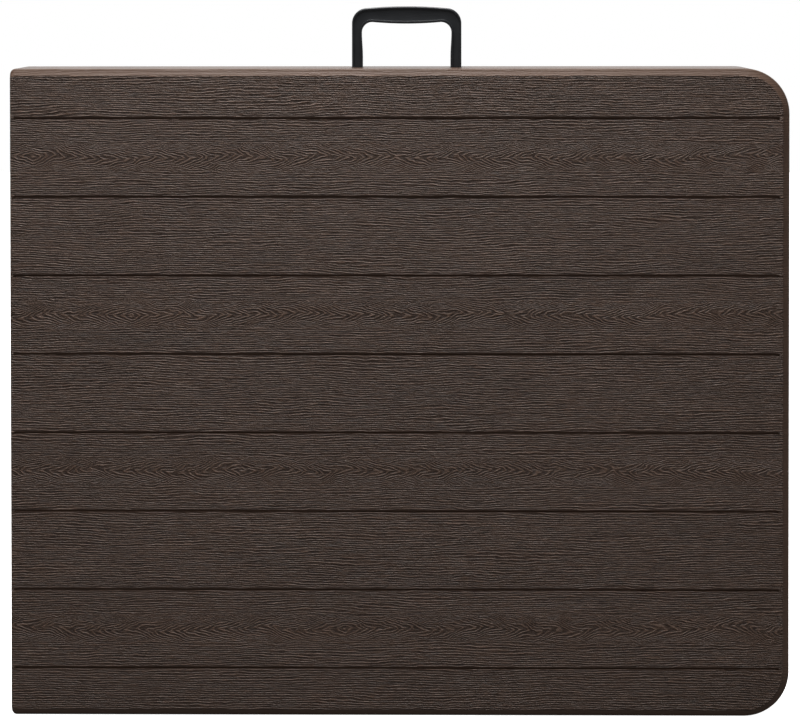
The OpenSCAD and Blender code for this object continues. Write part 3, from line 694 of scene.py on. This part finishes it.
def dimple_tree():
    """Cones that cut the dimples of the underside, one at each point of the input."""
    graph, given, result = geometry_tree(
        "underside_dimples", [("Mouth", "NodeSocketFloat", 0.011), ("Tip", "NodeSocketFloat", 0.006),
                              ("Depth", "NodeSocketFloat", 0.009), ("Side", "NodeSocketFloat", 1.0)])
    cone = graph.add("GeometryNodeMeshCone", {"Vertices": 28, "Radius Top": given.outputs["Tip"],
                                              "Radius Bottom": given.outputs["Mouth"],
                                              "Depth": given.outputs["Depth"]})
    points = graph.add("GeometryNodeMeshToPoints", {"Mesh": given.outputs["Geometry"]})
    lean = graph.vector(graph.math("MULTIPLY", given.outputs["Side"], -math.pi / 2), 0.0, 0.0)
    cones = graph.add("GeometryNodeInstanceOnPoints", {"Points": points.outputs[0],
                                                       "Instance": cone.outputs["Mesh"], "Rotation": lean})
    return end_tree(graph, given, result, cones.outputs[0])


def screw_tree():
    """Pan heads with a cross recess, one at each point of the input, scaled by its radius."""
    graph, given, result = geometry_tree(
        "cross_screws", [("Side", "NodeSocketFloat", 1.0), ("Recess", "NodeSocketFloat", 0.25)])
    ball = graph.add("GeometryNodeMeshUVSphere", {"Segments": 24, "Rings": 12, "Radius": 1.0})
    squat = graph.add("GeometryNodeTransform", {"Geometry": ball.outputs[0], "Scale": (1.0, 1.0, 0.5)})
    below = graph.add("GeometryNodeMeshCube", {"Size": (4.0, 4.0, 2.0)})
    lowered = graph.add("GeometryNodeTransform", {"Geometry": below.outputs[0],
                                                  "Translation": (0.0, 0.0, -1.0)})
    cuts = [lowered.outputs[0]]
    slot_width = given.outputs["Recess"]
    for size in (graph.vector(1.15, slot_width, 0.6), graph.vector(slot_width, 1.15, 0.6)):
        blade = graph.add("GeometryNodeMeshCube", {"Size": size})
        raised = graph.add("GeometryNodeTransform", {"Geometry": blade.outputs[0],
                                                     "Translation": (0.0, 0.0, 0.5)})
        cuts.append(raised.outputs[0])
    head = graph.add("GeometryNodeMeshBoolean", operation="DIFFERENCE", solver="EXACT")
    graph.feed(head.inputs[0], squat.outputs[0])
    for cut in cuts:
        graph.tree.links.new(cut, head.inputs[1])
    radius = graph.add("GeometryNodeInputNamedAttribute", {"Name": "head_radius"}, data_type="FLOAT")
    points = graph.add("GeometryNodeMeshToPoints", {"Mesh": given.outputs["Geometry"]})
    lean = graph.vector(graph.math("MULTIPLY", given.outputs["Side"], math.pi / 2), 0.0, 0.0)
    heads = graph.add("GeometryNodeInstanceOnPoints", {
        "Points": points.outputs[0], "Instance": head.outputs[0], "Rotation": lean,
        "Scale": graph.vector(radius.outputs[0], radius.outputs[0], radius.outputs[0])})
    return end_tree(graph, given, result, heads.outputs[0])


# ---- tabletop ----

def half_outline(top, bevel_inset, hinge_inset, extra=0.0):
    """Points (x, z) round a half, inset by different amounts at the hinge end and elsewhere."""
    inset = bevel_inset + extra
    x0 = PANEL_LOW.x + hinge_inset + extra
    x1 = PANEL_HIGH.x - inset
    z0 = PANEL_LOW.z + inset
    z1 = PANEL_HIGH.z - inset
    hinge_r = max(top.hinge_corner - hinge_inset - extra, 0.6 * MM)
    free_r = top.free_corner - inset
    corners = [(x0 + hinge_r, z0 + hinge_r, hinge_r, 180, 6), (x1 - free_r, z0 + free_r, free_r, 270, 20),
               (x1 - free_r, z1 - free_r, free_r, 0, 20), (x0 + hinge_r, z1 - hinge_r, hinge_r, 90, 6)]
    points = []
    for x, z, radius, start, steps in corners:
        for i in range(steps + 1):
            angle = math.radians(start + 90 * i / steps)
            points.append((x + radius * math.cos(angle), z + radius * math.sin(angle)))
    return points


def half_rows(top):
    """Rows of the moulding's skin as (bevel inset, hinge inset, further inset, depth below the top)."""
    thickness = PANEL_HIGH.y - PANEL_LOW.y
    slope = top.bevel_depth / top.bevel_width
    rows = [(top.bevel_width + 2 * MM, top.hinge_edge + 2 * MM, 0.0, 0.0)]
    flat_end = top.edge_radius * 0.75
    for share in (0.0, 0.5, 1.0):
        inset = top.bevel_width + share * (flat_end - top.bevel_width)
        rows.append((inset, top.hinge_edge * (1 - share) ** 2, 0.0, (top.bevel_width - inset) * slope))
    edge_top = rows[-1][3]
    for i in range(1, 6):
        angle = math.radians(90 * i / 5)
        rows.append((flat_end * (1 - math.sin(angle)), 0.0, 0.0,
                     edge_top + top.edge_radius * (1 - math.cos(angle))))
    rim = top.rim_radius
    for i in range(5):
        angle = math.radians(90 * i / 4)
        rows.append((0.0, 0.0, rim * (1 - math.cos(angle)), thickness - rim * (1 - math.sin(angle))))
    for i in range(5):
        angle = math.radians(90 * i / 4)
        rows.append((0.0, 0.0, top.rim_width - rim * (1 - math.sin(angle)),
                     thickness - rim * (1 - math.cos(angle))))
    floor = thickness - top.recess_depth
    soft = top.recess_radius
    for i in range(6):
        angle = math.radians(90 * i / 5)
        rows.append((0.0, 0.0, top.rim_width + soft * (1 - math.cos(angle)),
                     floor + soft * (1 - math.sin(angle))))
    return rows


def half_skin(top, half):
    """The closed skin of one half, before its grooves and cuts."""
    face = side(half) * -PANEL_LOW.y
    rings = []
    for bevel_inset, hinge_inset, extra, fall in half_rows(top):
        y = face - side(half) * fall
        rings.append([(x, y, z) for x, z in half_outline(top, bevel_inset, hinge_inset, extra)])
    return outward(lofted(rings))


def groove_cutter(context, top, half):
    """Bars for the plank grooves, with a small hook at the hinge end and a slight curl at the free end."""
    face = side(half) * -PANEL_LOW.y
    count = top.groove_count
    z0 = (PANEL_LOW.z + PANEL_HIGH.z) / 2 - (count - 1) / 2 * top.plank_width
    start = PANEL_LOW.x + top.groove_start
    end = PANEL_HIGH.x - top.groove_end
    path = [(start, -top.groove_hook), (start + 0.4 * MM, -0.8 * MM), (start + 1.6 * MM, 0.0),
            (end - 5 * MM, 0.0),
            (end - 2 * MM, -0.3 * MM), (end, -1.2 * MM)]
    points = [(x, face, z0 + z) for x, z in path]
    line = bpy.data.meshes.new("helper")
    line.from_pydata(points, [(i, i + 1) for i in range(len(points) - 1)], [])
    tree = bpy.data.node_groups.get("plank_grooves") or groove_tree()
    bars = run_tree(context, line, tree, None, Count=count, Pitch=top.plank_width, Width=top.groove_width,
                    Floor=top.groove_floor, Depth=top.groove_depth)
    return outward(bars)


def dimple_cutter(context, top, half):
    """Cones for the dimples, left out where a screw is."""
    floor = side(half) * (RIM_GAP + top.recess_depth)
    rows = top.groove_count - 1
    middle = (PANEL_LOW.z + PANEL_HIGH.z) / 2
    screws = [(low + high) / 2 for low, high in loose_boxes(f"frame_screws_{half}")]
    columns = int((PANEL_HIGH.x - PANEL_LOW.x - 1.6 * top.dimple_edge) / top.dimple_pitch) + 1
    depth = top.dimple_depth
    points = []
    for i in range(columns):
        for j in range(rows):
            x = PANEL_LOW.x + top.dimple_edge + i * top.dimple_pitch
            z = middle + (j - (rows - 1) / 2) * top.plank_width
            if min(math.hypot(x - s.x, z - s.z) for s in screws) > top.dimple_radius + top.dimple_gap:
                points.append((x, floor + side(half) * (depth / 2 - 0.02 * MM), z))
    spots = mesh_from(points, [])
    tree = bpy.data.node_groups.get("underside_dimples") or dimple_tree()
    cones = run_tree(context, spots, tree, None, Mouth=top.dimple_radius, Tip=top.dimple_tip, Depth=depth,
                     Side=float(side(half)))
    return outward(cones)


def slot_cutters(context, top, half):
    """Blocks for the hinge slots, the handle's slots and the latch pocket."""
    reach = 1 * MM
    blocks = []
    mate = side(half) * RIM_GAP
    floor = side(half) * (RIM_GAP + top.recess_depth)
    inner = PANEL_LOW.x + top.rim_width + reach
    for edge in EDGES:
        low_a, high_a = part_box(f"hinge_plate_{edge}_a")
        low_b, high_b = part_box(f"hinge_plate_{edge}_b")
        z0 = min(low_a.z, low_b.z) - top.slot_below
        z1 = max(high_a.z, high_b.z) + top.slot_above
        if edge == "upper":
            z0, z1 = z0 - reach, z1 - reach
        ys = sorted((mate - side(half) * reach, floor - side(half) * reach))
        blocks.append(box_mesh((PANEL_LOW.x - reach, ys[0], z0), (inner, ys[1], z1)))
    slot_half = HANDLE_HIGH.y + 0.5 * MM
    grip_sizes = sizes(context, "handle_sizes")
    leg_middle = (grip_sizes.width - grip_sizes.leg_foot) / 2
    leg_half = grip_sizes.leg_foot / 2 + reach
    ys = sorted((-side(half) * reach, side(half) * slot_half))
    grip = (HANDLE_LOW.x + HANDLE_HIGH.x) / 2
    for way in (-1, 1):
        x = grip + way * leg_middle
        blocks.append(box_mesh((x - leg_half, ys[0], PANEL_HIGH.z - top.rim_width - reach),
                               (x + leg_half, ys[1], PANEL_HIGH.z + reach)))
    low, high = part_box("latch_hook")
    ys = sorted((-side(half) * reach, side(half) * top.pocket_reach))
    blocks.append(box_mesh((low.x - top.pocket_side, ys[0], PANEL_LOW.z - reach),
                           (high.x + top.pocket_side, ys[1], high.z + reach)))
    return joined(blocks)


def cut_by(context, mesh, cutters):
    """The mesh less the cutters."""
    helper = scratch_object(context, mesh)
    tools = [scratch_object(context, cutter) for cutter in cutters]
    for tool in tools:
        cut = helper.modifiers.new("Cut", "BOOLEAN")
        cut.operation = "DIFFERENCE"
        cut.solver = "EXACT"
        cut.object = tool
    result = baked(context, helper)
    for tool in tools:
        bpy.data.objects.remove(tool)
    return result


class TABLE_OT_tabletops(bpy.types.Operator):
    """Moulded halves with plank grooves, sloping edge and dimpled underside"""

    bl_idname = "table.tabletops"
    bl_label = "Tabletops"

    def execute(self, context):
        top = sizes(context, "tabletop_sizes")
        for half in HALVES:
            cutters = [groove_cutter(context, top, half), dimple_cutter(context, top, half),
                       outward(slot_cutters(context, top, half))]
            mesh = cut_by(context, half_skin(top, half), cutters)
            finished_piece(context, f"plank_half_{half}", mesh, f"half_{half}", "brown_plastic",
                           [f"tabletop_{half}"], smooth_angle=21)
        return {"FINISHED"}


# ---- carry handle ----

def handle_stations(grip):
    """Pairs of outer and inner points (x, z) along the U, from the left foot to the right one."""
    middle = (HANDLE_LOW.x + HANDLE_HIGH.x) / 2
    half_width = grip.width / 2
    top = HANDLE_HIGH.z - grip.crown
    outer_r, inner_r = grip.outer_radius, grip.inner_radius
    edge = PANEL_HIGH.z
    inner_top = top - grip.grip_end
    bend = inner_top - inner_r
    left = []
    foot_z = HANDLE_LOW.z
    stop = foot_z + grip.foot
    inner_foot = half_width - grip.leg_foot
    inner_bend = half_width - grip.leg_top
    for z in (foot_z, stop - 0.01 * MM):
        left.append(((half_width + grip.foot_reach, z), (inner_foot - grip.foot_reach, z)))
    left.append(((half_width, stop), (inner_foot, stop)))
    for i in range(7):
        z = stop + 1 * MM + (edge + 12 * MM - stop) * i / 6
        left.append(((half_width, z), (inner_foot, z)))
    for i in range(1, 7):
        share = i / 6
        ease = share * share * (3 - 2 * share)
        z = edge + 13 * MM + (bend - edge - 13 * MM) * share
        outer_z = edge + 13 * MM + (top - outer_r - edge - 13 * MM) * share
        left.append(((half_width, outer_z), (inner_foot + (inner_bend - inner_foot) * ease, z)))
    for i in range(1, 15):
        angle = math.radians(90 * i / 14)
        outer = (half_width - outer_r * (1 - math.cos(angle)), top - outer_r * (1 - math.sin(angle)))
        inner = (inner_bend - inner_r * (1 - math.cos(angle)), bend + inner_r * math.sin(angle))
        left.append((outer, inner))
    outer_half = half_width - outer_r
    inner_half = inner_bend - inner_r
    for i in range(1, 13):
        share = 1 - i / 12
        swell = 1 - share * share
        left.append(((outer_half * share, top + grip.crown * swell),
                     (inner_half * share, inner_top - grip.belly * swell)))
    whole = [((-ox, oz), (-ix, iz)) for (ox, oz), (ix, iz) in left]
    whole += list(reversed(left[:-1]))
    return [((middle + ox, oz), (middle + ix, iz)) for (ox, oz), (ix, iz) in whole]


def handle_section(grip, half_thick, across):
    """Points (distance from the outer edge, y) round the handle's section, with ribs and a sunken web."""
    rib, web = grip.rib, half_thick - grip.web_depth
    soft = 1.5 * MM
    front = [(0.0, half_thick - soft), (soft * 0.13, half_thick - soft * 0.5),
             (soft * 0.5, half_thick - soft * 0.13),
             (soft, half_thick), (soft + rib * 0.55, half_thick), (soft + rib * 0.8, half_thick - 0.15 * MM),
             (soft + rib, web + 0.15 * MM), (soft + rib * 1.3, web)]
    whole_front = front + [(across - d, y) for d, y in reversed(front)]
    return [(d, -y) for d, y in whole_front] + [(d, y) for d, y in reversed(whole_front)]


class TABLE_OT_carry_handle(bpy.types.Operator):
    """Black U handle with ribbed edges, a crowned grip and stops at its feet"""

    bl_idname = "table.carry_handle"
    bl_label = "Carry handle"

    def execute(self, context):
        grip = sizes(context, "handle_sizes")
        half_thick = HANDLE_HIGH.y
        rings = []
        for (ox, oz), (ix, iz) in handle_stations(grip):
            across = math.hypot(ix - ox, iz - oz)
            ring = []
            for d, y in handle_section(grip, half_thick, across):
                share = d / across
                ring.append((ox + (ix - ox) * share, y, oz + (iz - oz) * share))
            rings.append(ring)
        mesh = outward(lofted(rings))
        finished_piece(context, "ribbed_handle", mesh, "handle", "handle_plastic", ["carry_handle"],
                       smooth_angle=40)
        return {"FINISHED"}


# ---- hardware ----

def copied_part(context, node, body, slot, edge, segments=2):
    mesh = rounded(context, merged_copy(node), edge, segments)
    return finished_piece(context, f"{node}_finished", mesh, body, slot, [node])


class TABLE_OT_frame(bpy.types.Operator):
    """Painted side rails with their plugs, and the pressed hinge plates"""

    bl_idname = "table.frame"
    bl_label = "Frame"

    def execute(self, context):
        hard = sizes(context, "hardware_sizes")
        for half in HALVES:
            body = f"half_{half}"
            for edge in EDGES:
                copied_part(context, f"rail_{edge}_{half}", body, "frame_paint", hard.tube_edge, 3)
                copied_part(context, f"hinge_plate_{edge}_{half}", body, "zinc_plate", hard.sheet_edge)
            copied_part(context, f"rail_plugs_{half}", body, "black_plastic", hard.plastic_edge)
            copied_part(context, f"leg_brackets_{half}", body, "zinc_plate", hard.sheet_edge)
            copied_part(context, f"brace_catches_{half}", body, "zinc_plate", hard.sheet_edge)
            copied_part(context, f"leg_cradles_{half}", body, "black_plastic", hard.plastic_edge)
        copied_part(context, "handle_guides", "half_a", "black_plastic", hard.plastic_edge)
        copied_part(context, "latch_hook", "latch", "zinc_plate", hard.sheet_edge)
        return {"FINISHED"}


class TABLE_OT_fasteners(bpy.types.Operator):
    """Cross-recess screws, pivot bolts and rivets"""

    bl_idname = "table.fasteners"
    bl_label = "Fasteners"

    def execute(self, context):
        hard = sizes(context, "hardware_sizes")
        for half in HALVES:
            self.screws(context, half, hard)
            copied_part(context, f"leg_pivot_bolts_{half}", f"half_{half}", "zinc_fasteners",
                        hard.fastener_edge)
        copied_part(context, "hinge_rivets", "half_a", "zinc_fasteners", hard.fastener_edge)
        copied_part(context, "latch_screw", "half_a", "zinc_fasteners", 0.5 * hard.fastener_edge)
        copied_part(context, "latch_stud", "half_b", "zinc_fasteners", 0.5 * hard.fastener_edge)
        return {"FINISHED"}

    def screws(self, context, half, hard):
        """Heads on the side away from the tabletop, where each CAD screw has its head."""
        points, radii = [], []
        for low, high in loose_boxes(f"frame_screws_{half}"):
            radius = (high.x - low.x) / 2
            face = high.y if half == "a" else low.y
            points.append(((low.x + high.x) / 2, face + side(half) * 0.5 * radius, (low.z + high.z) / 2))
            radii.append(radius)
        spots = mesh_from(points, [])
        attribute = spots.attributes.new("head_radius", "FLOAT", "POINT")
        attribute.data.foreach_set("value", radii)
        tree = bpy.data.node_groups.get("cross_screws") or screw_tree()
        mesh = run_tree(context, spots, tree, None, Side=float(side(half)), Recess=hard.recess_share)
        finished_piece(context, f"cross_screws_{half}", outward(mesh), f"half_{half}", "zinc_fasteners",
                       [f"frame_screws_{half}"])


def foot_cap_mesh(low, high, at_bottom):
    """A ribbed cap turned about Z, with its closed end down or up and a bore for the tube."""
    x, y = (low.x + high.x) / 2, (low.y + high.y) / 2
    radius = (high.x - low.x) / 2
    bore = radius - 1.15 * MM
    height = high.z - low.z
    web = 2 * MM
    profile = [(0.0, 0.0), (radius * 0.55, 0.0), (radius - 1.8 * MM, 0.15 * MM), (radius - 0.6 * MM, 0.7 * MM),
               (radius, 2.0 * MM)]
    ribs = 5
    first, pitch = 4.5 * MM, 4.2 * MM
    for i in range(ribs):
        z = first + i * pitch
        profile += [(radius, z), (radius - 0.55 * MM, z + 0.5 * MM), (radius - 0.55 * MM, z + 1.5 * MM),
                    (radius, z + 2.0 * MM)]
    profile += [(radius, height - 0.8 * MM), (radius - 0.5 * MM, height), (bore, height), (bore, web),
                (0.0, web)]
    steps = 40
    rings = []
    for r, z in profile[1:-1]:
        place = low.z + z if at_bottom else high.z - z
        rings.append([(x + r * math.cos(math.tau * i / steps), y + r * math.sin(math.tau * i / steps), place)
                      for i in range(steps)])
    return outward(lofted(rings))


class TABLE_OT_legs(bpy.types.Operator):
    """Leg tubes with their heads, ribbed foot caps and hook braces"""

    bl_idname = "table.legs"
    bl_label = "Legs"

    def execute(self, context):
        hard = sizes(context, "hardware_sizes")
        for half in HALVES:
            for edge in EDGES:
                tail = f"{edge}_{half}"
                leg, brace = f"leg_{tail}", f"brace_{tail}"
                copied_part(context, f"leg_tube_{tail}", leg, "frame_paint", hard.sheet_edge)
                copied_part(context, f"leg_head_{tail}", leg, "black_plastic", hard.plastic_edge)
                copied_part(context, f"brace_rivet_{tail}", leg, "zinc_fasteners", hard.fastener_edge)
                copied_part(context, f"hook_brace_{tail}", brace, "zinc_plate", hard.sheet_edge)
                low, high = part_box(f"foot_cap_{tail}")
                cap = foot_cap_mesh(low, high, at_bottom=edge == "upper")
                finished_piece(context, f"ribbed_foot_{tail}", cap, leg, "black_plastic", [f"foot_cap_{tail}"])
        return {"FINISHED"}


# ---- studio ----

class TABLE_OT_studio(bpy.types.Operator):
    """Pale floor, white surroundings, soft lights and the camera"""

    bl_idname = "table.studio"
    bl_label = "Studio"

    def execute(self, context):
        studio = sizes(context, "studio_settings")
        context.scene.view_settings.view_transform = "Standard"
        self.floor(context)
        self.surroundings(context, studio)
        middle = Vector((0.0, 0.0, (PANEL_LOW.z + PANEL_HIGH.z) / 2))
        self.softbox(context, "Overhead light", (-0.2, -0.66, 3.3), middle, 1.5, studio.key)
        self.softbox(context, "Front light", (-0.6, -3.2, 1.2), middle, 2.2, studio.fill)
        camera_data = bpy.data.cameras.new("Camera")
        camera_data.sensor_width = 36.0
        camera_data.lens = studio.focal_length
        camera = bpy.data.objects.new("Camera", camera_data)
        context.scene.collection.objects.link(camera)
        pitch, roll, yaw = studio.camera_turn
        level = Matrix.Rotation(math.pi / 2, 4, "X")
        turn = Matrix.Rotation(yaw, 4, "Z") @ Matrix.Rotation(pitch, 4, "X") @ Matrix.Rotation(roll, 4, "Y")
        stand = bpy.data.objects.new("Camera stand", None)
        context.scene.collection.objects.link(stand)
        stand.matrix_world = Matrix.Translation(studio.camera_place) @ turn @ level
        lean = Matrix.Identity(4)
        lean[1][2] = studio.axis_lean
        camera.parent = stand
        camera.matrix_parent_inverse = lean
        context.scene.camera = camera
        return {"FINISHED"}

    def floor(self, context):
        reach = 7.0
        mesh = mesh_from([(-reach, -reach, 0), (reach, -reach, 0), (reach, reach, 0), (-reach, reach, 0)],
                         [(0, 1, 2, 3)])
        made, graph, shader, place = new_material("pale_floor", Roughness=0.7)
        cloud = graph.noise(place, 1.5, detail=3.0)
        pale = graph.mix_colour(cloud, (0.9, 0.9, 0.9, 1), (0.93, 0.93, 0.93, 1))
        seen = graph.add("ShaderNodeLightPath").outputs["Is Camera Ray"]
        graph.feed(shader.inputs["Base Color"], graph.mix_colour(seen, rgba((0.12, 0.12, 0.12)), pale))
        graph.feed(shader.inputs["Emission Color"], (1.0, 1.0, 1.0, 1.0))
        graph.feed(shader.inputs["Emission Strength"], seen)
        mesh.materials.append(made)
        floor = bpy.data.objects.new("floor", mesh)
        context.scene.collection.objects.link(floor)

    def surroundings(self, context, studio):
        world = bpy.data.worlds.new("Studio")
        world.use_nodes = True
        world.node_tree.nodes.clear()
        graph = Graph(world.node_tree)
        seen = graph.add("ShaderNodeLightPath").outputs["Is Camera Ray"]
        ahead = graph.add("ShaderNodeSeparateXYZ", {0: graph.add("ShaderNodeTexCoord").outputs["Generated"]})
        glow = graph.ramp(ahead.outputs["Y"], 0.05, 0.5, studio.sky, studio.backdrop)
        strength = graph.mix_value(seen, glow, 1.0)
        sky = graph.add("ShaderNodeBackground", {"Color": (1.0, 1.0, 1.0, 1.0), "Strength": strength})
        graph.add("ShaderNodeOutputWorld", {"Surface": sky.outputs[0]})
        context.scene.world = world

    def softbox(self, context, name, place, target, size, power):
        data = bpy.data.lights.new(name, "AREA")
        data.shape = "SQUARE"
        data.size = size
        data.energy = power
        light = bpy.data.objects.new(name, data)
        light.visible_camera = False
        context.scene.collection.objects.link(light)
        away = Vector(place) - target
        light.matrix_world = Matrix.Translation(place) @ away.to_track_quat("Z", "Y").to_matrix().to_4x4()


class TABLE_PT_panel(bpy.types.Panel):
    """Lists the table's building steps"""

    bl_label = "Folding Table"
    bl_idname = "TABLE_PT_panel"
    bl_space_type = "VIEW_3D"
    bl_region_type = "UI"
    bl_category = "Folding Table"

    def draw(self, context):
        for step in STEPS:
            self.layout.operator(step.bl_idname)


SETTINGS = {"tabletop_sizes": TabletopSizes, "handle_sizes": HandleSizes, "hardware_sizes": HardwareSizes,
            "finishes": Finishes, "studio_settings": StudioSettings}
STEPS = (TABLE_OT_tabletops, TABLE_OT_carry_handle, TABLE_OT_frame, TABLE_OT_fasteners, TABLE_OT_legs,
         TABLE_OT_studio)


def register():
    for kind in (*SETTINGS.values(), *STEPS, TABLE_PT_panel):
        bpy.utils.register_class(kind)
    for name, kind in SETTINGS.items():
        setattr(bpy.types.Scene, name, PointerProperty(type=kind))


def unregister():
    for name in SETTINGS:
        delattr(bpy.types.Scene, name)
    for kind in reversed((*SETTINGS.values(), *STEPS, TABLE_PT_panel)):
        bpy.utils.unregister_class(kind)


def main():
    register()
    for step in STEPS:
        family, name = step.bl_idname.split(".")
        getattr(getattr(bpy.ops, family), name)()


if __name__ == "__main__":
    main()
